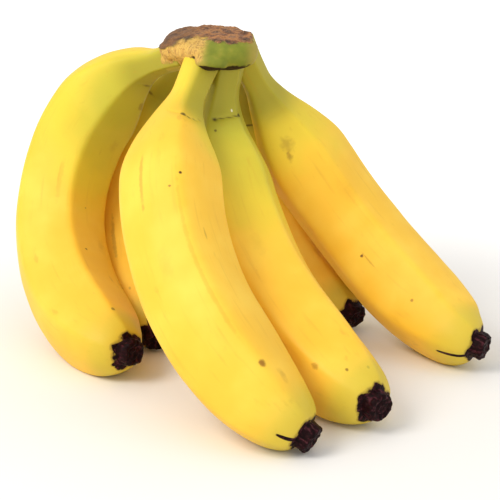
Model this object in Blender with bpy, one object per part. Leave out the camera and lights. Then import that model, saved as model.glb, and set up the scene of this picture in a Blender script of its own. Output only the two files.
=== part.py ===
"""A hand of six bananas on its crown, resting on a table on the ends of its fingers.

Run with: blender --background --python part.py
Metres, +Z up, the front of the bunch faces -Y. The origin is on the table, under the
middle of the bunch. Each finger is one grown piece: stalk, fruit and dark blossom end.
"""

import math

import bmesh
import bpy
from mathutils import Vector

MM = 0.001
GAP = 0.3 * MM           # kept between the crown and each stalk
FLAT = 0.5 * MM          # how far a finger is pressed flat where it rests
STUB = 12.0 * MM         # length of stalk that belongs to the crown
SPARE = 2.4 * MM         # how far a stub is made too long before it is cut off square
ROOM = 60.0 * MM         # how far along its axis a finger is kept clear of the crown
RIDGES = 5
SIDES = 4 * RIDGES       # points round a finger
STEP = 6.0 * MM          # between two rings along a finger
RIDGE_DEPTH = 0.03       # height of the ridges as a share of the radius
END_RADIUS = 5.6 * MM    # dark blossom end
END_LENGTH = 6.2 * MM
STALK_LENGTH = 22.0 * MM
SHOULDER_LENGTH = 44.0 * MM
SHOULDER_RISE = 0.85     # below 1 the shoulder swells sooner
TAPER_LENGTH = 56.0 * MM
TAPER_FULLNESS = 2.3     # 2 is an ellipse, more is blunter
NECK_FROM = 14.0 * MM    # the neck's own bend lies between these two
NECK_TO = 54.0 * MM
FRUIT_FROM = 30.0 * MM   # the fruit's bend starts here
FRUIT_TO = 6.0 * MM      # and ends here, counted back from the tip
NOSE_FROM = 20.0 * MM    # the blossom end turns to its nose between these two,
NOSE_TO = 3.0 * MM       # counted back from the tip

# start: where the stalk's axis begins inside the crown, millimetres
# leaves, ends: direction of the axis at the crown and at the blossom end as (heading, dip):
#   heading 0 is to the front and 90 to the right, dip is how far below level, degrees
# nose: direction in which the blossom end points, as (heading, dip)
# neck: share of the whole bend that lies in the neck
# late: above 0 the fruit bends more towards its blossom end, below 0 nearer its stalk
# length: along the axis; girth: thickest radius; stalk: radius of the stalk, millimetres
# begin: where the crown's stub of this stalk begins along its axis, millimetres
# ridge: how far the ridges are turned about the axis, degrees
FINGERS = {
    "finger_left": dict(
        start=(-10.8, 0.0, 123.2), leaves=(-132.6, 18.5), ends=(37.9, 0.8),
        neck=-0.02, late=-0.52, length=211.4, girth=18.6, stalk=5.6, ridge=28.0,
        nose=(37.9, 0.8), begin=5.0),
    "finger_left_inner": dict(
        start=(-9.7, 32.9, 119.1), leaves=(-143.4, 34.3), ends=(16.7, 20.6),
        neck=0.121, late=-0.887, length=171.6, girth=16.3, stalk=6.2, ridge=10.0,
        nose=(16.7, 20.6), begin=1.0),
    "finger_front": dict(
        start=(-5.4, -4.3, 122.8), leaves=(-24.7, 42.0), ends=(61.7, 28.3),
        neck=0.086, late=0.09, length=181.6, girth=18.4, stalk=6.3, ridge=14.0,
        nose=(61.7, 28.3), begin=5.0),
    "finger_middle": dict(
        start=(6.0, -5.5, 130.8), leaves=(-104.6, 76.8), ends=(36.4, 8.3),
        neck=0.293, late=-0.10, length=185.8, girth=18.1, stalk=6.2, ridge=-4.0,
        nose=(36.4, 8.3), begin=8.0),
    "finger_right_inner": dict(
        start=(9.3, 12.7, 119.6), leaves=(-173.8, 49.4), ends=(36.2, 17.6),
        neck=0.124, late=-0.03, length=151.3, girth=16.7, stalk=5.8, ridge=5.0,
        nose=(36.2, 17.6), begin=2.0),
    "finger_right": dict(
        start=(3.9, 2.9, 128.3), leaves=(125.7, 57.8), ends=(21.3, -0.9),
        neck=0.13, late=0.77, length=181.9, girth=18.3, stalk=5.8, ridge=-8.0,
        nose=(58.0, 12.0), begin=4.0),
}

# The crown is four soft lumps grown together: the cut cushion, the lip over the front
# stalks, the brow beside it and the tail along the left stalk. Each has its middle, its half
# widths and how far it reaches up and down from its middle, millimetres.
LUMPS = (
    dict(middle=(-5.8, 14.0, 123.8), half=(17.8, 26.8), up=6.2, down=8.0),
    dict(middle=(1.9, -5.0, 123.6), half=(13.0, 13.2), up=5.8, down=8.0),
    dict(middle=(-4.0, -7.0, 123.2), half=(10.0, 11.6), up=4.6, down=5.2),
    dict(middle=(-18.5, 2.5, 123.4), half=(6.6, 6.0), up=3.6, down=5.0))
LUMP_AROUND = 36
LUMP_RINGS = 14
LUMP_FULLNESS = 2.4      # 2 is an ellipsoid, more is squarer

PEEL = dict(colour=(0.93, 0.66, 0.10), roughness=0.5)
RIND = dict(colour=(0.31, 0.17, 0.08), roughness=0.85)


def clear_scene():
    """Start from an empty scene."""
    for obj in list(bpy.data.objects):
        bpy.data.objects.remove(obj, do_unlink=True)


def smooth(low, high, value):
    """0 below low, 1 above high, and an even S-shaped rise between them."""
    t = min(max((value - low) / (high - low), 0.0), 1.0)
    return t * t * (3.0 - 2.0 * t)


def direction(heading, dip):
    """The unit vector of a heading and a dip in degrees."""
    a = math.radians(heading)
    b = math.radians(dip)
    return Vector((math.cos(b) * math.sin(a), -math.cos(b) * math.cos(a), -math.sin(b)))


def radius_at(finger, along):
    """Mean radius of a finger at a distance along its axis."""
    length = finger["length"] * MM
    girth = finger["girth"] * MM
    stalk = finger["stalk"] * MM
    rise = smooth(STALK_LENGTH, STALK_LENGTH + SHOULDER_LENGTH, along) ** SHOULDER_RISE
    body = stalk + (girth - stalk) * rise
    left = min(max((length - END_LENGTH - along) / TAPER_LENGTH, 0.0), 1.0)
    full = math.sqrt(1.0 - (1.0 - left) ** TAPER_FULLNESS)
    taper = END_RADIUS + (girth - END_RADIUS) * full
    return min(body, taper)


def bend_at(finger, along):
    """Share of the whole bend that is behind a point of the axis."""
    length = finger["length"] * MM
    share = finger["neck"]
    neck = smooth(NECK_FROM, NECK_TO, along)
    t = min(max((along - FRUIT_FROM) / (length - FRUIT_TO - FRUIT_FROM), 0.0), 1.0)
    fruit = t + finger["late"] * (t * t - t)
    return share * neck + (1.0 - share) * fruit


def heading_at(finger, along):
    """Direction of the axis at a distance along it."""
    first = direction(*finger["leaves"])
    last = direction(*finger["ends"])
    sideways = first.cross(last).normalized()
    angle = first.angle(last) * bend_at(finger, along)
    forward = math.cos(angle) * first + math.sin(angle) * sideways.cross(first)
    length = finger["length"] * MM
    turn = smooth(length - NOSE_FROM, length - NOSE_TO, along)
    return forward.lerp(direction(*finger["nose"]), turn).normalized()


def frame_at(finger, start, along):
    """Frame of the axis at a distance: (distance, point, inward, sideways, forward)."""
    across = direction(*finger["leaves"]).cross(direction(*finger["ends"]))
    count = math.ceil(along / MM)
    point = Vector(start)
    for i in range(count):
        point += along / count * heading_at(finger, along * (i + 0.5) / count)
    forward = heading_at(finger, along)
    inward = across.cross(forward).normalized()
    return along, point, inward, forward.cross(inward), forward


def skin_point(finger, frame, angle, extra):
    """Point on the skin at an angle round the axis, extra outside it."""
    along, point, inward, sideways, _ = frame
    ridge = math.radians(finger["ridge"])
    ridges = 1.0 + RIDGE_DEPTH * math.cos(RIDGES * (angle - ridge))
    radius = radius_at(finger, along) * ridges + extra
    return point + radius * (math.cos(angle) * inward + math.sin(angle) * sideways)


def ring_angles(finger):
    """The angles of the points round a finger, with one on each ridge."""
    ridge = math.radians(finger["ridge"])
    return [ridge + 2.0 * math.pi * i / SIDES for i in range(SIDES)]


def resting_start(finger):
    """Start of the axis, raised or lowered so that the finger is pressed FLAT deep."""
    start = Vector(finger["start"]) * MM
    length = finger["length"] * MM
    frames = [frame_at(finger, start, along) for along in stations(STUB, length)]
    lowest = min(
        skin_point(finger, frame, angle, 0.0).z
        for frame in frames
        for angle in ring_angles(finger))
    start.z -= lowest + FLAT
    return start


def stations(low, high):
    """Evenly spaced distances from low to high, about STEP apart."""
    count = max(round((high - low) / STEP), 1)
    return [low + (high - low) * i / count for i in range(count + 1)]


def extruded(bm, face, is_end):
    """Extrude a face, drop it unless it is the body's end, and give the new one."""
    grown = bmesh.ops.extrude_face_region(bm, geom=[face])["geom"]
    if not is_end:
        bmesh.ops.delete(bm, geom=[face], context="FACES_ONLY")
    return next(item for item in grown if isinstance(item, bmesh.types.BMFace))


def sweep(finger, start, low, high, extra):
    """A closed bmesh of a finger from low to high along its axis, extra larger all round."""
    bm = bmesh.new()
    made = bmesh.ops.create_circle(bm, cap_ends=True, segments=SIDES, radius=1.0)
    angles = ring_angles(finger)
    frame = frame_at(finger, start, low)
    for vert, angle in zip(made["verts"], angles):
        vert.co = skin_point(finger, frame, angle, extra)
    face = bm.faces[:][0]
    for along in stations(low, high)[1:]:
        before = frame
        frame = frame_at(finger, start, along)
        face = extruded(bm, face, before[0] == low)
        for vert in face.verts:
            arm = vert.co - before[1]
            angle = math.atan2(arm.dot(before[3]), arm.dot(before[2]))
            vert.co = skin_point(finger, frame, angle, extra)
    bmesh.ops.recalc_face_normals(bm, faces=bm.faces)
    return bm


def press_flat(bm):
    """Cut a body level where it rests on the table, at z = 0, and close the cut."""
    geometry = bm.verts[:] + bm.edges[:] + bm.faces[:]
    cut = bmesh.ops.bisect_plane(
        bm, geom=geometry, plane_co=(0.0, 0.0, 0.0), plane_no=(0.0, 0.0, 1.0),
        dist=1e-7, clear_inner=True)["geom_cut"]
    edges = [item for item in cut if isinstance(item, bmesh.types.BMEdge)]
    bmesh.ops.holes_fill(bm, edges=edges, sides=0)
    bmesh.ops.recalc_face_normals(bm, faces=bm.faces)


def material(name, colour, roughness):
    """A Principled BSDF of one colour, not metallic."""
    made = bpy.data.materials.new(name)
    made.use_nodes = True
    shader = made.node_tree.nodes["Principled BSDF"]
    shader.inputs["Base Color"].default_value = (*colour, 1.0)
    shader.inputs["Roughness"].default_value = roughness
    shader.inputs["Metallic"].default_value = 0.0
    return made


def add_object(name, bm, finish):
    """Link a named object with the mesh of bm and a material of its own."""
    mesh = bpy.data.meshes.new(name)
    bm.to_mesh(mesh)
    bm.free()
    mesh.shade_smooth()
    mesh.set_sharp_from_angle(angle=math.radians(40.0))
    mesh.materials.append(material(name, **finish))
    obj = bpy.data.objects.new(name, mesh)
    bpy.context.scene.collection.objects.link(obj)
    return obj


def boolean(target, tool, operation):
    """Add a Boolean modifier of the exact solver, and keep the tool as a hidden guide."""
    modifier = target.modifiers.new(operation.title(), "BOOLEAN")
    modifier.operation = operation
    modifier.solver = "EXACT"
    modifier.object = tool
    tool.hide_render = True
    tool.display_type = "WIRE"


def lump_body(middle, half, up, down):
    """One soft lump of the crown, its top and its bottom unlike."""
    bm = bmesh.new()
    bmesh.ops.create_uvsphere(
        bm, u_segments=LUMP_AROUND, v_segments=LUMP_RINGS, radius=1.0)
    for vert in bm.verts:
        x, y, z = vert.co
        sides = abs(x) ** LUMP_FULLNESS + abs(y) ** LUMP_FULLNESS + abs(z) ** LUMP_FULLNESS
        full = sides ** (-1.0 / LUMP_FULLNESS)
        tall = up if z > 0.0 else down
        vert.co.x = (middle[0] + half[0] * x * full) * MM
        vert.co.y = (middle[1] + half[1] * y * full) * MM
        vert.co.z = (middle[2] + tall * z * full) * MM
    return bm


def add_crown(starts):
    """The crown with its six stalk stubs, cut clear of the fingers."""
    crown = add_object("crown", lump_body(**LUMPS[0]), RIND)
    for number, lump in enumerate(LUMPS[1:]):
        boolean(crown, add_object(f"lump_{number}", lump_body(**lump), RIND), "UNION")
    for name, finger in FINGERS.items():
        stub = sweep(finger, starts[name], finger["begin"] * MM, STUB + SPARE, 0.0)
        boolean(crown, add_object(name + "_stub", stub, RIND), "UNION")
    for name, finger in FINGERS.items():
        room = sweep(finger, starts[name], STUB - GAP, ROOM, GAP)
        boolean(crown, add_object(name + "_room", room, RIND), "DIFFERENCE")


def centre_on_table():
    """Move everything so that the middle of the bunch is over the origin."""
    corners = [
        vert.co
        for obj in bpy.data.objects if not obj.hide_render
        for vert in obj.data.vertices]
    middle_x = (min(co.x for co in corners) + max(co.x for co in corners)) / 2.0
    middle_y = (min(co.y for co in corners) + max(co.y for co in corners)) / 2.0
    for obj in bpy.data.objects:
        for vert in obj.data.vertices:
            vert.co -= Vector((middle_x, middle_y, 0.0))


def build():
    """The whole bunch."""
    clear_scene()
    starts = {name: resting_start(finger) for name, finger in FINGERS.items()}
    for name, finger in FINGERS.items():
        bm = sweep(finger, starts[name], STUB, finger["length"] * MM, 0.0)
        press_flat(bm)
        add_object(name, bm, PEEL)
    add_crown(starts)
    centre_on_table()


build()
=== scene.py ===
"""A hand of six ripe bananas on its cut crown, standing on the ends of its fingers.

The fingers are swept along nearly the same bent axes as the model's own solids, finer, and
the crown is a cut cushion of rind. Metres, +Z up, front towards -Y.
"""

import math

import bmesh
import bpy
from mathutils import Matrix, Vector, noise


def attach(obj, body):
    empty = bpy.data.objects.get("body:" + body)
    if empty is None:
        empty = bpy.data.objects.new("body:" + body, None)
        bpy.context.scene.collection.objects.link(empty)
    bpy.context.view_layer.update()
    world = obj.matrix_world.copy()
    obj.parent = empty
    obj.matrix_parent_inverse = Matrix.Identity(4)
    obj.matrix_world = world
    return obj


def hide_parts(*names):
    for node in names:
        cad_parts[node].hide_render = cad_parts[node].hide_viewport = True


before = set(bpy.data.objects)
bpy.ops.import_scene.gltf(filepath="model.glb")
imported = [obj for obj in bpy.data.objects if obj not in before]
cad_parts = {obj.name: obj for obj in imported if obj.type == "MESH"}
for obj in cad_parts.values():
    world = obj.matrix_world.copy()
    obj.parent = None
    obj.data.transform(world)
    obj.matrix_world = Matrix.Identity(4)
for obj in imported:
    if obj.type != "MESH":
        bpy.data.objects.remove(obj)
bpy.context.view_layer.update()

MM = 0.001

# ---------------------------------------------------------------- driving dimensions

FLAT = 0.5 * MM              # how far a finger is pressed flat where it rests
RIDGES = 5
END_RADIUS = 5.6 * MM
END_LENGTH = 4.6 * MM        # the black stub of the blossom end
STALK_LENGTH = 22.0 * MM
SHOULDER_LENGTH = 44.0 * MM
SHOULDER_RISE = 0.85         # below 1 the shoulder swells sooner
FLARE_LENGTH = 11.0 * MM     # along which the stalk widens into the crown
TAPER_LENGTH = 56.0 * MM
TAPER_FULLNESS = 2.3         # 2 is an ellipse, more is blunter
NECK_FROM = 14.0 * MM        # the neck's own bend lies between these two
NECK_TO = 54.0 * MM
FRUIT_FROM = 30.0 * MM       # the fruit's bend starts here
FRUIT_TO = 6.0 * MM          # and ends here, counted back from the tip
NOSE_FROM = 20.0 * MM        # the blossom end turns to its nose between these two,
NOSE_TO = 3.0 * MM           # counted back from the tip
RESTING_FROM = 12.0 * MM     # the stalk before this never touches the table
MIDDLE = Vector((9.58, -24.22, 0.0)) * MM    # of the bunch, from where the starts count

# start, leaves, ends, neck, late, length, girth, stalk and ridge drive each finger's axis
# and thickness. nose: heading and dip in which the blossom end points. begin: where the
# stalk's mesh begins inside the crown. fold: the crease between stalk and shoulder, see
# folded(). flare: how much thicker the stalk gets as it joins the crown. green: how green
# it still is. reach: how far the green runs down it, and inner: how much further on its
# inner side. streak: a dark streak running back from the blossom end, its angle and half
# width in degrees and its length.
FINGERS = {
    "finger_left": dict(
        start=(-10.8, 0.0, 123.2), leaves=(-132.6, 18.5), ends=(37.9, 0.8),
        neck=-0.02, late=-0.52, length=211.4, girth=18.6, stalk=5.6, ridge=28.0,
        nose=(45.0, 0.8), begin=5.0, fold=(33.0, -20.0, 30.0, 0.0, 0.0, 0.25), flare=1.6,
        green=0.7, inner=45.0, reach=100.0, streak=(150.0, 9.0, 0.8)),
    "finger_left_inner": dict(
        start=(-9.7, 32.9, 119.1), leaves=(-143.4, 34.3), ends=(16.7, 20.6),
        neck=0.121, late=-0.887, length=171.6, girth=16.7, stalk=6.6, ridge=10.0,
        nose=(16.7, 20.6), begin=1.5, fold=(36.0, 60.0, 30.0, 0.0, 0.0, 0.4), flare=1.6,
        green=0.8, inner=14.0, reach=85.0, streak=(40.0, 12.0, 1.5)),
    "finger_front": dict(
        start=(-5.4, -4.3, 122.8), leaves=(-24.7, 42.0), ends=(61.7, 28.3),
        neck=0.086, late=0.09, length=181.6, girth=18.4, stalk=6.3, ridge=14.0,
        nose=(61.7, 28.3), begin=5.0, fold=(39.2, 74.0, 42.0, 0.0, -5.5, 0.55), flare=0.9,
        green=0.5, inner=20.0, reach=55.0, streak=(140.0, 6.5, 5.0)),
    "finger_middle": dict(
        start=(6.0, -5.5, 130.8), leaves=(-104.6, 76.8), ends=(36.4, 8.3),
        neck=0.293, late=-0.10, length=185.8, girth=18.1, stalk=6.2, ridge=-4.0,
        nose=(36.4, 8.3), begin=8.0, fold=(34.8, 14.0, 46.0, 0.04, 0.0, 0.8), flare=0.8,
        green=0.8, inner=10.0, reach=120.0, streak=(200.0, 8.0, 1.8)),
    "finger_right_inner": dict(
        start=(9.3, 12.7, 119.6), leaves=(-173.8, 49.4), ends=(36.2, 17.6),
        neck=0.124, late=-0.03, length=151.3, girth=16.7, stalk=5.8, ridge=5.0,
        nose=(36.2, 17.6), begin=2.5, fold=(36.0, 10.0, 40.0, 0.0, 0.0, 0.5), flare=1.2,
        green=0.8, inner=14.0, reach=90.0, streak=(60.0, 12.0, 1.5)),
    "finger_right": dict(
        start=(3.9, 2.9, 128.3), leaves=(125.7, 57.8), ends=(21.3, -0.9),
        neck=0.13, late=0.77, length=181.9, girth=18.3, stalk=5.8, ridge=-8.0,
        nose=(58.0, 12.0), begin=4.5, fold=(37.0, 20.0, 30.0, 0.0, 0.0, 0.25), flare=1.8,
        green=0.5, inner=14.0, reach=80.0, streak=(73.0, 6.5, 7.5)),
}

SIDES = 100              # points round a finger
STEP = 1.4 * MM          # between two rings of the fruit
FINE_STEP = 0.55 * MM    # between two rings of the stalk and shoulder
FINE_TO = 48.0 * MM


def smooth(low, high, value):
    """0 below low, 1 above high, and an even S-shaped rise between them."""
    t = min(max((value - low) / (high - low), 0.0), 1.0)
    return t * t * (3.0 - 2.0 * t)


def direction(heading, dip):
    """The unit vector of a heading and a dip in degrees."""
    a = math.radians(heading)
    b = math.radians(dip)
    return Vector((math.cos(b) * math.sin(a), -math.cos(b) * math.cos(a), -math.sin(b)))


# ---------------------------------------------------------------- fingers

def bend_at(finger, along):
    """Share of the whole bend that is behind a point of the axis."""
    length = finger["length"] * MM
    share = finger["neck"]
    neck = smooth(NECK_FROM, NECK_TO, along)
    t = min(max((along - FRUIT_FROM) / (length - FRUIT_TO - FRUIT_FROM), 0.0), 1.0)
    fruit = t + finger["late"] * (t * t - t)
    return share * neck + (1.0 - share) * fruit


def radius_at(finger, along):
    """Mean radius of a finger, with the narrow waist before its dark blossom end."""
    length = finger["length"] * MM
    girth = finger["girth"] * MM
    stalk = finger["stalk"] * MM
    rise = smooth(STALK_LENGTH, STALK_LENGTH + SHOULDER_LENGTH, along) ** SHOULDER_RISE
    body = stalk + (girth - stalk) * rise
    body += finger["flare"] * MM * math.exp(-(along / FLARE_LENGTH) ** 2)
    left = min(max((length - END_LENGTH - along) / TAPER_LENGTH, 0.0), 1.0)
    full = math.sqrt(1.0 - (1.0 - left) ** TAPER_FULLNESS)
    taper = END_RADIUS + (girth - END_RADIUS) * full
    return min(body, taper)


def rounded_pentagon(angle):
    """Radius of a pentagon with soft corners against its inner circle, corner at 0."""
    total = 0.0
    for side in range(5):
        across = math.cos(angle + math.radians(36.0 + 72.0 * side))
        total += max(across, 0.0) ** 20
    return total ** (-1.0 / 20.0)


def heading_at(finger, along):
    """Direction of the axis at a point, before its nose turns."""
    first = direction(*finger["leaves"])
    last = direction(*finger["ends"])
    sideways = first.cross(last).normalized()
    angle = first.angle(last) * bend_at(finger, along)
    return math.cos(angle) * first + math.sin(angle) * sideways.cross(first)


def turned_at(finger, along):
    """Direction of the axis at a point, with its nose turned."""
    length = finger["length"] * MM
    turn = smooth(length - NOSE_FROM, length - NOSE_TO, along)
    forward = heading_at(finger, along)
    return forward.lerp(direction(*finger["nose"]), turn).normalized()


def axis_frames(finger, start, distances):
    """(distance, point, inward, sideways, forward) of the axis at rising distances."""
    across = direction(*finger["leaves"]).cross(direction(*finger["ends"]))
    fine = 0.5 * MM
    point = Vector(start)
    at = 0.0
    frames = []
    for along in distances:
        while at < along - 1e-9:
            step = min(fine, along - at)
            point = point + step * turned_at(finger, at + step / 2.0)
            at += step
        forward = turned_at(finger, along)
        inward = across.cross(forward).normalized()
        frames.append((along, point.copy(), inward, forward.cross(inward), forward))
    return frames


def ridged(finger, along, angle):
    """How far the skin stands off the mean radius, as a share of it: five soft ridges."""
    length = finger["length"] * MM
    turned = angle - math.radians(finger["ridge"])
    uneven = turned + 0.09 * math.sin(turned + 1.3) + 0.05 * math.sin(2.0 * turned)
    strength = 0.62 + 0.04 * (1.0 - smooth(30.0 * MM, 75.0 * MM, along))
    strength *= 0.6 + 0.4 * smooth(8.0 * MM, 30.0 * MM, length - along)
    return strength * (rounded_pentagon(uneven) - 1.075)


def folded(finger, along, angle):
    """Height of the crease where the flat stalk meets the round shoulder.

    A fold is its distance along the finger, its middle angle and half width in degrees, how
    much its distance grows per degree and by its bow at 60 degrees off, and its depth.
    """
    place, middle, half_width, slope, bow, depth = finger["fold"]
    off = (math.degrees(angle) - middle + 180.0) % 360.0 - 180.0
    window = 1.0 - smooth(0.5 * half_width, 1.3 * half_width, abs(off))
    past = along / MM - place - slope * off - bow * (off / 60.0) ** 2
    groove = math.exp(-(past / 0.9) ** 2)
    swelling = math.exp(-((past - 4.0) / 3.6) ** 2) if past > -1.0 else 0.0
    sunk = math.exp(-((past + 6.0) / 5.0) ** 2)
    return window * depth * MM * (0.6 * swelling - 0.9 * groove - 0.5 * sunk)


def wobble(point, scale, depth, seed):
    """Slow unevenness of the fruit."""
    return depth * noise.noise(Vector(point) / scale + Vector((seed, 0.0, 0.0)))


def finger_start(finger):
    """Start of the axis at the height at which the finger rests on the table."""
    start = Vector(finger["start"]) * MM
    length = finger["length"] * MM
    ridge = math.radians(finger["ridge"])
    reach = length - RESTING_FROM
    distances = [RESTING_FROM + reach * i / 40.0 for i in range(41)]
    lowest = 1.0
    for along, point, inward, sideways, _ in axis_frames(finger, start, distances):
        for k in range(20):
            angle = ridge + 2.0 * math.pi * k / 20.0
            ridges = 1.0 + 0.03 * math.cos(RIDGES * (angle - ridge))
            radius = radius_at(finger, along) * ridges
            skin = point + radius * (math.cos(angle) * inward + math.sin(angle) * sideways)
            lowest = min(lowest, skin.z)
    start.z -= lowest + FLAT
    return start - MIDDLE


def extruded(bm, face, is_end):
    """Extrude a face, drop it unless it is the body's end, and give the new one."""
    grown = bmesh.ops.extrude_face_region(bm, geom=[face])["geom"]
    if not is_end:
        bmesh.ops.delete(bm, geom=[face], context="FACES_ONLY")
    return next(item for item in grown if isinstance(item, bmesh.types.BMFace))


# share of END_LENGTH and of the radius there: a stub with a rounded rim and a hollow end
BLOSSOM_END = (
    (0.08, 1.0), (0.18, 0.99), (0.3, 0.98), (0.42, 0.96), (0.54, 0.96), (0.66, 0.96),
    (0.77, 0.95), (0.86, 0.91), (0.93, 0.85), (0.98, 0.78), (1.0, 0.7), (0.98, 0.62),
    (0.93, 0.55), (0.89, 0.48), (0.89, 0.41), (0.94, 0.34), (0.97, 0.27), (0.93, 0.19),
    (0.88, 0.09))


def ring_places(finger):
    """Rings along a finger: (distance along the axis, share of the radius there)."""
    begin = finger["begin"] * MM
    tip = finger["length"] * MM - END_LENGTH
    fine = math.ceil((FINE_TO - begin) / FINE_STEP)
    coarse = math.ceil((tip - FINE_TO) / STEP)
    rings = [(begin + (FINE_TO - begin) * i / fine, 1.0) for i in range(fine)]
    rings += [(FINE_TO + (tip - FINE_TO) * i / coarse, 1.0) for i in range(coarse - 1)]
    rings += [(tip - back * MM, 1.0) for back in (2.0, 1.5, 1.1, 0.75, 0.45, 0.2, 0.0)]
    return rings + [(tip + ahead * END_LENGTH, share) for ahead, share in BLOSSOM_END]


def finger_mesh(finger, seed):
    """One finger: stalk, fruit and blossom end, swept along its axis."""
    length = finger["length"] * MM
    start = finger_start(finger)
    rings = ring_places(finger)
    tip = length - END_LENGTH
    bm = bmesh.new()
    straight = bm.verts.layers.float_vector.new("straight")
    ends = bm.verts.layers.float_vector.new("ends")
    made = bmesh.ops.create_circle(bm, cap_ends=True, segments=SIDES, radius=1.0)
    face = bm.faces[:][0]
    loops = [made["verts"]]
    for _ in rings[1:]:
        face = extruded(bm, face, len(loops) == 1)
        loops.append(face.verts[:])
    distances = sorted({round(along, 9) for along, _ in rings})
    frames = {f[0]: f for f in axis_frames(finger, start, distances)}
    for (along, share), loop in zip(rings, loops):
        _, point, inward, sideways, forward = frames[round(along, 9)]
        mean = radius_at(finger, along) * share
        dark = smooth(-0.5 * MM, 2.0 * MM, along - tip)
        for vert in loop:
            angle = math.atan2(vert.co.y, vert.co.x)
            around = Vector((math.cos(angle), math.sin(angle), 0.0))
            flat = Vector((mean * around.x, mean * around.y, along))
            radius = mean * (1.0 + ridged(finger, along, angle))
            radius += folded(finger, along, angle)
            radius += wobble(flat, 30.0 * MM, 0.6 * MM, seed)
            radius += wobble(flat, 10.0 * MM, 0.15 * MM, seed + 9.0)
            rough = noise.noise(flat / (2.4 * MM) + Vector((seed, 3.0, 0.0)))
            rough += 0.7 * noise.noise(flat / (1.1 * MM) + Vector((seed, 7.0, 0.0)))
            radius += dark * 0.45 * MM * rough * min(share * 1.5, 1.0)
            push = dark * 0.5 * MM * noise.noise(flat / (1.6 * MM) + Vector((seed, 0.0, 5.0)))
            vert[straight] = flat
            vert[ends] = (along, length - along, angle)
            vert.co = point + radius * (around.x * inward + around.y * sideways)
            vert.co += push * forward
            vert.co.z = max(vert.co.z, 0.0)
    bmesh.ops.recalc_face_normals(bm, faces=bm.faces)
    return bm


def add_piece(name, bm, material):
    """A finished piece from its mesh."""
    mesh = bpy.data.meshes.new(name)
    bm.to_mesh(mesh)
    bm.free()
    mesh.shade_smooth()
    mesh.materials.append(material)
    piece = bpy.data.objects.new(name, mesh)
    bpy.context.scene.collection.objects.link(piece)
    return piece


# ---------------------------------------------------------------- crown

# The crown is given in millimetres in the frame of the finger starts above.
CUSHION = dict(middle=(-5.8, 14.0, 123.8), half=(17.8, 26.8), up=6.2, down=8.0)
LIP = dict(middle=(1.9, -5.0, 123.6), half=(13.0, 13.2), up=5.8, down=8.0)
BROW = dict(middle=(-4.0, -7.0, 123.6), half=(10.0, 11.2), up=4.2, down=4.6)
CORNER = dict(middle=(-3.4, -11.2, 120.5), half=(7.2, 10.0), up=4.2, down=4.3)
TAIL = dict(middle=(-18.5, 2.5, 123.4), half=(6.6, 6.0), up=3.6, down=5.0)
# how far the crown's skin runs along each stalk, and its radius at both ends
ROOTS = {
    "finger_left": (15.0, 7.2, 5.9),
    "finger_left_inner": (12.0, 7.4, 6.2),
    "finger_front": (8.0, 7.0, 6.9),
    "finger_middle": (9.0, 6.4, 6.2),
    "finger_right_inner": (11.0, 7.2, 5.8),
    "finger_right": (10.0, 7.6, 6.8),
}
CROWN_VOXEL = 0.42 * MM


def add_lump(bm, middle, half, up, down):
    """A soft, slightly square lump: fuller than an ellipsoid, its top and bottom unlike."""
    made = bmesh.ops.create_uvsphere(bm, u_segments=64, v_segments=32, radius=1.0)
    for vert in made["verts"]:
        x, y, z = vert.co
        full = (abs(x) ** 2.4 + abs(y) ** 2.4 + abs(z) ** 2.4) ** (-1.0 / 2.4)
        tall = up if z > 0.0 else down
        place = Vector((middle[0] + half[0] * x * full, middle[1] + half[1] * y * full,
                        middle[2] + tall * z * full))
        vert.co = place * MM - MIDDLE


def add_root(bm, name):
    """The crown's skin running a short way along a stalk."""
    finger = FINGERS[name]
    reach, near, far = ROOTS[name]
    start = finger_start(finger)
    begin = finger["begin"] - 1.0
    rings = [(begin + (reach - begin) * i / 10.0, near + (far - near) * i / 10.0)
             for i in range(11)]
    rings += [(reach + 1.2, far - 0.5), (reach + 2.4, far - 1.6)]
    made = bmesh.ops.create_circle(bm, cap_ends=True, segments=48, radius=1.0)
    face = made["verts"][0].link_faces[0]
    loops = [made["verts"]]
    for _ in rings[1:]:
        face = extruded(bm, face, len(loops) == 1)
        loops.append(face.verts[:])
    frames = axis_frames(finger, start, [along * MM for along, _ in rings])
    for (_, point, inward, sideways, _), (_, radius), loop in zip(frames, rings, loops):
        for vert in loop:
            angle = math.atan2(vert.co.y, vert.co.x)
            out = math.cos(angle) * inward + math.sin(angle) * sideways
            vert.co = point + radius * MM * out


def fused(bm):
    """Grow overlapping closed bodies into one skin and soften where they meet."""
    mesh = bpy.data.meshes.new("lumps")
    bm.to_mesh(mesh)
    bm.free()
    body = bpy.data.objects.new("lumps", mesh)
    bpy.context.scene.collection.objects.link(body)
    remesh = body.modifiers.new("one skin", "REMESH")
    remesh.mode = "VOXEL"
    remesh.voxel_size = CROWN_VOXEL
    soften = body.modifiers.new("soften", "SMOOTH")
    soften.factor = 0.5
    soften.iterations = 8
    depsgraph = bpy.context.evaluated_depsgraph_get()
    whole = bmesh.new()
    whole.from_object(body, depsgraph)
    bpy.data.objects.remove(body)
    bpy.data.meshes.remove(mesh)
    return whole


def rim_height(x):
    """Height in millimetres of the front edge of the cut: it drops to the left tip."""
    return 127.5 + 1.2 * math.exp(-((x + 8.0) / 5.0) ** 2) - 3.8 * smooth(-15.0, -23.0, x)


def uneven(place, scale, seed):
    """Noise between -1 and 1 with lumps of the given size in millimetres."""
    return noise.noise(place / scale + Vector((seed, seed * 0.7, 0.0)))


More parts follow.
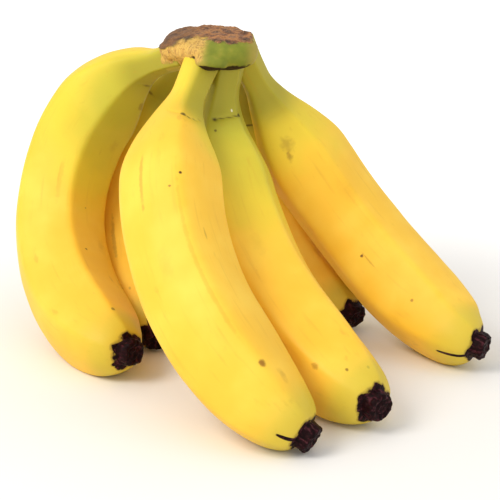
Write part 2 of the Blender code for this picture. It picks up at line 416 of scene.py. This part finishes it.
def crown_zones(place, normal):
    """How much of a point of the crown is cut face, torn fibre and painted shade in the crease
    under the lip.
    """
    x, y, z = place
    ragged = 0.9 * uneven(place, 3.0, 1.0) + 0.5 * uneven(place, 1.1, 2.0)
    over = z - rim_height(x) + ragged + 0.09 * max(y - 5.0, 0.0)
    cut = smooth(-0.35, 0.35, over)
    ragged = 1.6 * uneven(place, 4.0, 3.0) + 0.8 * uneven(place, 1.3, 4.0)
    torn = smooth(2.0, -2.0, x + 7.4 + 0.5 * (124.0 - z) + ragged)
    torn *= smooth(9.0, 3.0, y + ragged)
    torn *= smooth(115.5, 117.5, z + ragged)
    # painted shade: the front skin under the lip that faces down, in the crease, is marked here
    # to be painted near black
    under = -normal.z + 0.10 * uneven(place, 1.5, 5.0) - 0.006 * (x - 2.0)
    front = smooth(-4.0, -8.0, y) * smooth(113.5, 115.0, z) * smooth(-12.5, -10.5, x)
    steep = 0.36 + 0.3 * smooth(-8.0, 1.0, x)
    crease = smooth(steep, steep + 0.12, under) * front
    return cut, torn * (1.0 - cut), crease * (1.0 - cut)


def crown_mesh():
    """The cut crown: rough domed cut, torn left side, smooth lip and stalk roots."""
    bm = bmesh.new()
    for lump in (CUSHION, LIP, BROW, CORNER, TAIL):
        add_lump(bm, **lump)
    for name in FINGERS:
        add_root(bm, name)
    bmesh.ops.recalc_face_normals(bm, faces=bm.faces)
    bm = fused(bm)
    zones = bm.verts.layers.float_vector.new("zones")
    bm.normal_update()
    for vert in bm.verts:
        place = (vert.co + MIDDLE) / MM
        cut, torn, crease = crown_zones(place, vert.normal)
        vert[zones] = (cut, torn, crease)
        lift = 0.25 * uneven(place, 6.0, 6.0)
        lift += cut * (0.7 * uneven(place, 4.5, 7.0) + 0.35 * uneven(place, 1.9, 8.0))
        lift += cut * 0.18 * uneven(place, 0.9, 9.0) + 0.2 * cut
        fibre = Vector((place.x * 1.0 + place.z * 0.5, place.y, place.z * 0.3))
        lift += torn * 0.3 * uneven(fibre, 1.3, 10.0) - 0.15 * torn
        # the crease under the lip, painted as shade, is also sunk a little into the skin
        lift -= crease * 0.3
        vert.co += vert.normal * (lift * MM)
    bmesh.ops.recalc_face_normals(bm, faces=bm.faces)
    return bm


# ---------------------------------------------------------------- materials

def linear(hex_colour):
    """An sRGB hex colour as linear RGBA."""
    channels = [int(hex_colour[i:i + 2], 16) / 255.0 for i in (1, 3, 5)]
    turned = [c / 12.92 if c <= 0.04045 else ((c + 0.055) / 1.055) ** 2.4 for c in channels]
    return (*turned, 1.0)


def add_node(tree, kind, settings=None, **links):
    """Add a node; settings are its properties and values, links its incoming sockets."""
    node = tree.nodes.new(kind)
    for key, value in (settings or {}).items():
        if isinstance(key, int) or key in node.inputs:
            node.inputs[key].default_value = value
        else:
            setattr(node, key, value)
    for key, socket in links.items():
        slot = int(key[1:]) if key[0] == "i" and key[1:].isdigit() else key.replace("_", " ")
        tree.links.new(socket, node.inputs[slot])
    return node


def ramp(tree, factor, stops):
    """A colour ramp over a factor; stops are (position, hex colour)."""
    node = add_node(tree, "ShaderNodeValToRGB", i0=factor)
    elements = node.color_ramp.elements
    while len(elements) < len(stops):
        elements.new(0.5)
    for element, (position, colour) in zip(elements, stops):
        element.position = position
        element.color = linear(colour)
    return node.outputs["Color"]


def joined(tree, operation, *values):
    """A Math node over sockets and numbers."""
    node = add_node(tree, "ShaderNodeMath", {"operation": operation})
    for index, value in enumerate(values):
        if isinstance(value, (int, float)):
            node.inputs[index].default_value = value
        else:
            tree.links.new(value, node.inputs[index])
    return node.outputs[0]


def span(tree, value, low, high):
    """0 at low, 1 at high, clamped and eased."""
    node = add_node(tree, "ShaderNodeMapRange", {
        "interpolation_type": "SMOOTHSTEP", "From Min": low, "From Max": high}, Value=value)
    return node.outputs["Result"]


def blend(tree, factor, low, high, mode="MIX"):
    """Mix two colours."""
    node = add_node(tree, "ShaderNodeMix", {"data_type": "RGBA", "blend_type": mode})
    for index, value in ((0, factor), (6, low), (7, high)):
        if isinstance(value, str):
            node.inputs[index].default_value = linear(value)
        elif isinstance(value, (int, float)):
            node.inputs[index].default_value = value
        else:
            tree.links.new(value, node.inputs[index])
    return node.outputs[2]


def grain(tree, place, scale, detail=3.0):
    """Noise of the given scale per metre."""
    return add_node(tree, "ShaderNodeTexNoise", {"Scale": scale, "Detail": detail},
                    Vector=place).outputs["Fac"]


def stretched(tree, place, share):
    """The same place with its lengthwise coordinate pressed, for lengthwise grain."""
    return add_node(tree, "ShaderNodeMapping", {"Scale": (1.0, 1.0, share)},
                    Vector=place).outputs["Vector"]


def centred(tree, value, amount):
    """A 0 to 1 value as an offset of plus or minus half the amount."""
    return joined(tree, "MULTIPLY", joined(tree, "SUBTRACT", value, 0.5), amount)


# Marks in the peel, with a darker line along the fold between stalk and shoulder on most
# fingers and one painted highlight on finger_middle: finger, distance along it and angle
# round it, half length and half width in millimetres, strength, colour.
MARKS = {
    "finger_left": (
        (33.0, -26.0, 0.9, 2.6, 0.7, "#5E5020"), (45.0, -38.0, 9.0, 1.3, 0.5, "#7A5A1C"),
        (148.0, 8.0, 0.7, 0.7, 0.8, "#7A4A14"), (118.0, -2.0, 0.6, 0.6, 0.6, "#7A4A14"),
        (74.0, -22.0, 5.0, 2.5, 0.2, "#A8762A"), (196.0, 22.0, 1.2, 0.8, 0.7, "#5A3A14"),
        (140.0, -26.0, 7.0, 3.0, 0.22, "#B07A2A"), (104.0, 40.0, 14.0, 1.2, 0.22, "#B58A20")),
    "finger_left_inner": (
        (147.0, 72.0, 3.0, 2.1, 0.9, "#4A2408"), (34.0, 60.0, 0.9, 3.0, 0.7, "#5A4A14"),
        (120.0, 60.0, 18.0, 0.9, 0.4, "#8A6418")),
    "finger_front": (
        # the first four marks draw a broken darker line along the fold between stalk and
        # shoulder
        (39.0, 77.0, 0.9, 1.4, 0.85, "#4A3A14"), (39.0, 64.0, 0.6, 1.8, 0.8, "#5E4E1A"),
        (38.0, 48.0, 0.55, 2.0, 0.7, "#6E5E20"), (36.0, 30.0, 0.6, 1.6, 0.4, "#7E6A24"),
        (71.0, 80.0, 0.6, 0.6, 0.95, "#4A2A0C"), (76.0, 92.0, 0.5, 0.5, 0.7, "#7A5420"),
        (70.0, 128.0, 15.0, 0.9, 0.42, "#A87A30"), (120.0, 84.0, 55.0, 0.8, 0.22, "#B07A1C"),
        (153.0, 80.0, 1.6, 1.3, 0.8, "#7A4410"), (160.0, 64.0, 3.5, 1.6, 0.3, "#9A6A20"),
        (96.0, 60.0, 2.6, 0.5, 0.4, "#9A6A20"), (104.0, 116.0, 8.0, 3.4, 0.13, "#B07A2A")),
    "finger_middle": (
        # the first five marks draw a darker line along the fold between stalk and shoulder
        (36.2, 50.0, 1.2, 1.5, 0.9, "#3E3010"), (35.7, 34.0, 0.55, 1.9, 0.75, "#5E4E1A"),
        (35.0, 14.0, 0.5, 2.2, 0.75, "#5E4E1A"), (34.2, -6.0, 0.6, 1.8, 0.8, "#4E3E14"),
        (33.6, -20.0, 1.1, 1.2, 0.9, "#33260C"), (42.0, 46.0, 1.0, 0.6, 0.8, "#5A4A18"),
        # painted highlight: the small pale cream mark beside the fold is a glint painted into
        # the peel
        (31.5, 4.0, 1.3, 0.45, 0.8, "#EFEBD2"),
        (120.0, 72.0, 55.0, 0.9, 0.3, "#B07A1C"), (162.0, 66.0, 2.0, 1.2, 0.5, "#8A5414"),
        (172.0, 40.0, 0.9, 0.6, 0.7, "#6A3A10"), (100.0, 30.0, 9.0, 3.0, 0.12, "#A87A20")),
    "finger_right_inner": (
        (36.0, 10.0, 0.7, 5.0, 0.8, "#4A3A10"), (90.0, 20.0, 12.0, 1.0, 0.3, "#8A6418")),
    "finger_right": (
        (51.0, 24.0, 5.0, 3.2, 0.42, "#8A5A20"), (56.0, 30.0, 3.0, 1.6, 0.5, "#7A4A18"),
        (114.0, 28.0, 0.9, 0.8, 0.9, "#5A3410"), (118.0, 25.0, 6.0, 0.4, 0.4, "#9A6A20"),
        (150.0, 20.0, 1.0, 0.8, 0.6, "#7A4A18"), (84.0, -8.0, 8.0, 3.4, 0.14, "#A87A20")),
}


def ripe_skin(tree, finger, skin, along, angle, clouds):
    """Golden yellow in slow clouds, olive then green towards the stalk."""
    yellow = ramp(tree, clouds, ((0.3, "#F1BD36"), (0.5, "#F4C23C"), (0.7, "#F8CB48")))
    wander = centred(tree, grain(tree, skin, 55.0, 2.0), 0.03)
    facing = joined(tree, "COSINE", angle)
    inside = joined(tree, "MULTIPLY", facing, finger["inner"] * MM)
    at = joined(tree, "SUBTRACT", joined(tree, "ADD", along, wander), inside)
    reach = finger["reach"] * MM
    green = joined(tree, "MULTIPLY", span(tree, at, reach, reach * 0.08), finger["green"])
    olive = ramp(tree, green, ((0.0, "#F3C83C"), (0.35, "#E3C83A"), (0.7, "#C0B636"),
                               (1.0, "#9EA030")))
    colour = blend(tree, span(tree, green, 0.0, 0.3), yellow, olive)
    stalky = joined(tree, "MULTIPLY", span(tree, along, 0.045, 0.030),
                    span(tree, facing, -0.5, 0.4))
    return blend(tree, joined(tree, "MULTIPLY", stalky, 0.75), colour, "#9C9228")


def specked(tree, colour, skin, streaks):
    """Faint long fibres, a scatter of small brown specks and a few scuffs."""
    fibre = joined(tree, "MULTIPLY", span(tree, streaks, 0.56, 0.78), 0.22)
    colour = blend(tree, fibre, colour, "#C48E26")
    spots = add_node(tree, "ShaderNodeTexVoronoi", {"Scale": 125.0},
                     Vector=stretched(tree, skin, 0.6))
    few = span(tree, grain(tree, skin, 75.0, 1.0), 0.56, 0.72)
    size = joined(tree, "MULTIPLY", few, 0.1)
    speck = span(tree, joined(tree, "SUBTRACT", spots.outputs["Distance"], size), 0.02, -0.04)
    colour = blend(tree, joined(tree, "MULTIPLY", speck, 0.6), colour, "#8A5A1C")
    scuffs = span(tree, grain(tree, stretched(tree, skin, 0.4), 190.0, 5.0), 0.66, 0.76)
    return blend(tree, joined(tree, "MULTIPLY", scuffs, 0.22), colour, "#9A6A24")


def marked(tree, colour, finger, mark, straight, fray):
    """One mark of the peel: a frayed patch about its place on the finger."""
    place, turn, half_length, half_width, strength, hue = mark
    radius = radius_at(finger, place * MM)
    turn = math.radians(turn)
    middle = (radius * math.cos(turn), radius * math.sin(turn), place * MM)
    across = 1.0 / (half_width * MM)
    away = add_node(tree, "ShaderNodeVectorMath", {"operation": "SUBTRACT", 1: middle},
                    i0=straight).outputs["Vector"]
    sized = add_node(tree, "ShaderNodeVectorMath", {
        "operation": "MULTIPLY", 1: (across, across, 1.0 / (half_length * MM))},
        i0=away).outputs["Vector"]
    far = add_node(tree, "ShaderNodeVectorMath", {"operation": "LENGTH"},
                   i0=sized).outputs["Value"]
    core = 0.45 if half_width < 1.5 else 0.0
    inside = span(tree, joined(tree, "ADD", far, centred(tree, fray, 1.5)), 1.2, core)
    return blend(tree, joined(tree, "MULTIPLY", inside, strength), colour, hue)


def blossom_edge(tree, finger, skin, left, angle):
    """Distance from the tip at which the black ends, drawn in by ridges and a streak."""
    turned = joined(tree, "SUBTRACT", angle, math.radians(finger["ridge"]))
    spikes = joined(tree, "COSINE", joined(tree, "MULTIPLY", turned, float(RIDGES)))
    edge = joined(tree, "SUBTRACT", left, joined(tree, "MULTIPLY", spikes, 0.0002))
    ragged = centred(tree, grain(tree, skin, 260.0, 6.0), -0.0022)
    edge = joined(tree, "ADD", edge, ragged)
    turn, width, length = finger["streak"]
    beside = joined(tree, "COSINE", joined(tree, "SUBTRACT", angle, math.radians(turn)))
    streak = span(tree, beside, math.cos(math.radians(width)), 1.0)
    streak = joined(tree, "POWER", streak, 1.8)
    return joined(tree, "SUBTRACT", edge, joined(tree, "MULTIPLY", streak, length * MM))


def peel_material(name, finger, marks, seed):
    """Ripe banana peel: waxy satin skin, green at the stalk, black at the blossom end."""
    made = bpy.data.materials.new(name)
    made.use_nodes = True
    tree = made.node_tree
    shader = tree.nodes["Principled BSDF"]
    straight = add_node(tree, "ShaderNodeAttribute",
                        {"attribute_name": "straight"}).outputs["Vector"]
    ends = add_node(tree, "ShaderNodeAttribute", {"attribute_name": "ends"}).outputs["Vector"]
    along, left, angle = add_node(tree, "ShaderNodeSeparateXYZ", i0=ends).outputs
    skin = add_node(tree, "ShaderNodeMapping", {
        "Location": (seed * 0.37, seed * 0.11, seed * 0.23)}, Vector=straight).outputs["Vector"]
    clouds = grain(tree, skin, 45.0)
    streaks = grain(tree, stretched(tree, skin, 0.07), 520.0, 4.0)
    colour = ripe_skin(tree, finger, skin, along, angle, clouds)
    colour = specked(tree, colour, skin, streaks)
    # greenish skin just before the blossom end
    halo = joined(tree, "MULTIPLY", span(tree, left, 0.021, 0.0085), 0.6)
    colour = blend(tree, halo, colour, "#BDB53C")
    fray = grain(tree, skin, 480.0, 3.0)
    for mark in marks:
        colour = marked(tree, colour, finger, mark, straight, fray)
    # the black blossom end, with a thin brown rim
    edge = blossom_edge(tree, finger, skin, left, angle)
    rim = joined(tree, "MULTIPLY", span(tree, edge, 0.0056, 0.0050), 0.6)
    colour = blend(tree, rim, colour, "#7A5620")
    dark = span(tree, edge, 0.0051, 0.0049)
    crust = grain(tree, stretched(tree, skin, 0.5), 800.0, 5.0)
    black = ramp(tree, crust, ((0.38, "#120204"), (0.55, "#22060A"), (0.75, "#5A2C34")))
    colour = blend(tree, dark, colour, black)
    tree.links.new(colour, shader.inputs["Base Color"])
    gloss = add_node(tree, "ShaderNodeMapRange", {"To Min": 0.44, "To Max": 0.56},
                     Value=clouds).outputs["Result"]
    tree.links.new(gloss, shader.inputs["Roughness"])
    shader.inputs["IOR"].default_value = 1.45
    # the crust of the blossom end shines less than the skin
    shine = add_node(tree, "ShaderNodeMapRange", {"To Min": 0.3, "To Max": 0.1},
                     Value=dark).outputs["Result"]
    tree.links.new(shine, shader.inputs["Specular IOR Level"])
    shader.inputs["Subsurface Weight"].default_value = 0.08
    shader.inputs["Subsurface Radius"].default_value = (0.003, 0.0015, 0.0005)
    shader.inputs["Subsurface Scale"].default_value = 1.0
    height = joined(tree, "ADD", joined(tree, "MULTIPLY", grain(tree, skin, 900.0), 0.12),
                    joined(tree, "MULTIPLY", streaks, 0.22))
    crusty = joined(tree, "MULTIPLY", joined(tree, "MULTIPLY", crust, dark), 3.5)
    bump = add_node(tree, "ShaderNodeBump", {"Strength": 0.4, "Distance": 0.0004},
                    Height=joined(tree, "ADD", height, crusty))
    tree.links.new(bump.outputs["Normal"], shader.inputs["Normal"])
    return made


def crown_material():
    """Cut banana crown: dry brown cut, tan torn fibre, green rind lip and painted shade in the
    crease under the lip; all matte.
    """
    made = bpy.data.materials.new("crown_rind")
    made.use_nodes = True
    tree = made.node_tree
    shader = tree.nodes["Principled BSDF"]
    place = add_node(tree, "ShaderNodeTexCoord").outputs["Object"]
    zones = add_node(tree, "ShaderNodeAttribute", {"attribute_name": "zones"})
    cut, torn, crease = add_node(tree, "ShaderNodeSeparateXYZ",
                                 i0=zones.outputs["Vector"]).outputs
    patches = grain(tree, place, 240.0, 4.0)
    fine = grain(tree, place, 900.0, 5.0)
    x, y, z = add_node(tree, "ShaderNodeSeparateXYZ", i0=place).outputs
    # rind: green in the middle of the lip, olive towards the stalks
    rind = ramp(tree, patches, ((0.3, "#6C761F"), (0.55, "#7C8224"), (0.8, "#948C32")))
    below = span(tree, z, 0.1190, 0.1150)
    rind = blend(tree, below, rind, "#A8A034")
    left_side = span(tree, x, -0.0130, -0.0180)
    right_side = span(tree, x, -0.0010, 0.0040)
    sides = joined(tree, "ADD", left_side, right_side)
    rind = blend(tree, joined(tree, "MULTIPLY", sides, 0.6), rind, "#B89E44")
    rind = blend(tree, joined(tree, "MULTIPLY", span(tree, fine, 0.6, 0.8), 0.35), rind,
                 "#8A7428")
    fibres = add_node(tree, "ShaderNodeMapping", {
        "Rotation": (0.0, 0.5, 0.0), "Scale": (1.0, 1.0, 0.25)}, Vector=place)
    strands = grain(tree, fibres.outputs["Vector"], 1100.0, 4.0)
    cracks = joined(tree, "ABSOLUTE", centred(tree, grain(tree, place, 330.0, 3.0), 1.0))
    flesh = ramp(tree, strands, (
        (0.32, "#94703A"), (0.42, "#C89C4E"), (0.6, "#D6B058"), (0.75, "#BE9448")))
    flesh = blend(tree, joined(tree, "MULTIPLY", span(tree, cracks, 0.022, 0.004), 0.6),
                  flesh, "#8A5E2A")
    brown = ramp(tree, grain(tree, place, 150.0, 4.0), (
        (0.34, "#4E382A"), (0.45, "#85583A"), (0.54, "#B07844"), (0.66, "#7A5A44")))
    brown = blend(tree, joined(tree, "MULTIPLY", span(tree, fine, 0.56, 0.7), 0.6), brown,
                  "#44281A")
    brown = blend(tree, joined(tree, "MULTIPLY", span(tree, fine, 0.44, 0.34), 0.5), brown,
                  "#CC9658")
    brown = blend(tree, joined(tree, "MULTIPLY", span(tree, x, -0.0110, -0.0270), 0.6),
                  brown, "#54402E")
    colour = blend(tree, torn, rind, flesh)
    colour = blend(tree, cut, colour, brown)
    # painted shade: the crease under the lip is painted near black
    colour = blend(tree, crease, colour, "#2A1804")
    tree.links.new(colour, shader.inputs["Base Color"])
    shader.inputs["Roughness"].default_value = 0.68
    shader.inputs["Specular IOR Level"].default_value = 0.3
    depth = joined(tree, "ADD", joined(tree, "MULTIPLY", fine, cut),
                   joined(tree, "MULTIPLY", strands, joined(tree, "MULTIPLY", torn, 0.6)))
    bump = add_node(tree, "ShaderNodeBump", {"Strength": 0.8, "Distance": 0.0009},
                    Height=depth)
    tree.links.new(bump.outputs["Normal"], shader.inputs["Normal"])
    return made


# ---------------------------------------------------------------- build

for number, (name, finger) in enumerate(FINGERS.items()):
    look = peel_material(name.replace("finger", "peel"), finger, MARKS[name],
                         number * 13.0 + 2.0)
    fruit = add_piece(name + "_fruit", finger_mesh(finger, number * 5.0), look)
    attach(fruit, "root")
    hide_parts(name)

crown = add_piece("crown_cushion", crown_mesh(), crown_material())
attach(crown, "root")
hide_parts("crown")

# ---------------------------------------------------------------- studio

def add_floor():
    """A seamless white table that glows faintly away from the middle."""
    bm = bmesh.new()
    bmesh.ops.create_grid(bm, x_segments=1, y_segments=1, size=3.0)
    made = bpy.data.materials.new("white_sweep")
    made.use_nodes = True
    shader = made.node_tree.nodes["Principled BSDF"]
    shader.inputs["Base Color"].default_value = linear("#F0EFED")
    shader.inputs["Roughness"].default_value = 0.9
    shader.inputs["Specular IOR Level"].default_value = 0.1
    shader.inputs["Emission Color"].default_value = linear("#FFFFFF")
    tree = made.node_tree
    place = add_node(tree, "ShaderNodeTexCoord").outputs["Object"]
    far = add_node(tree, "ShaderNodeVectorMath", {"operation": "LENGTH"}, i0=place)
    glow = span(tree, far.outputs["Value"], 0.11, 0.4)
    tree.links.new(joined(tree, "MULTIPLY", glow, 0.4), shader.inputs["Emission Strength"])
    floor = add_piece("floor", bm, made)


def add_light(name, place, aim, size, power, colour):
    """A soft square light."""
    lamp = bpy.data.lights.new(name, "AREA")
    lamp.shape = "SQUARE"
    lamp.size = size
    lamp.energy = power
    lamp.color = linear(colour)[:3]
    obj = bpy.data.objects.new(name, lamp)
    obj.location = place
    obj.rotation_euler = (Vector(aim) - Vector(place)).to_track_quat("-Z", "Y").to_euler()
    bpy.context.scene.collection.objects.link(obj)


def add_camera():
    """Camera at the height and distance at which the bunch is seen."""
    elevation = math.radians(16.05)
    distance = 0.549
    target = Vector((11.55, 0.0, 39.3)) * MM - MIDDLE
    lens = bpy.data.cameras.new("camera")
    lens.sensor_width = 36.0
    lens.lens = 94.2
    camera = bpy.data.objects.new("camera", lens)
    back = Vector((0.0, -math.cos(elevation), math.sin(elevation)))
    camera.location = target + distance * back
    camera.rotation_euler = (math.pi / 2.0 - elevation, 0.0, 0.0)
    bpy.context.scene.collection.objects.link(camera)
    bpy.context.scene.camera = camera


def add_world():
    """Even white surroundings."""
    world = bpy.data.worlds.new("studio")
    world.use_nodes = True
    back = world.node_tree.nodes["Background"]
    back.inputs["Color"].default_value = linear("#FFFFFF")
    back.inputs["Strength"].default_value = 0.83
    bpy.context.scene.world = world


add_floor()
add_world()
add_light("key", (-0.75, -0.55, 0.95), (0.0, 0.0, 0.05), 0.6, 9.2, "#FFF8EE")
add_light("fill", (0.2, -1.1, 0.6), (0.0, 0.0, 0.05), 0.8, 1.3, "#FFFFFF")
add_camera()
bpy.context.scene.view_settings.view_transform = "Standard"
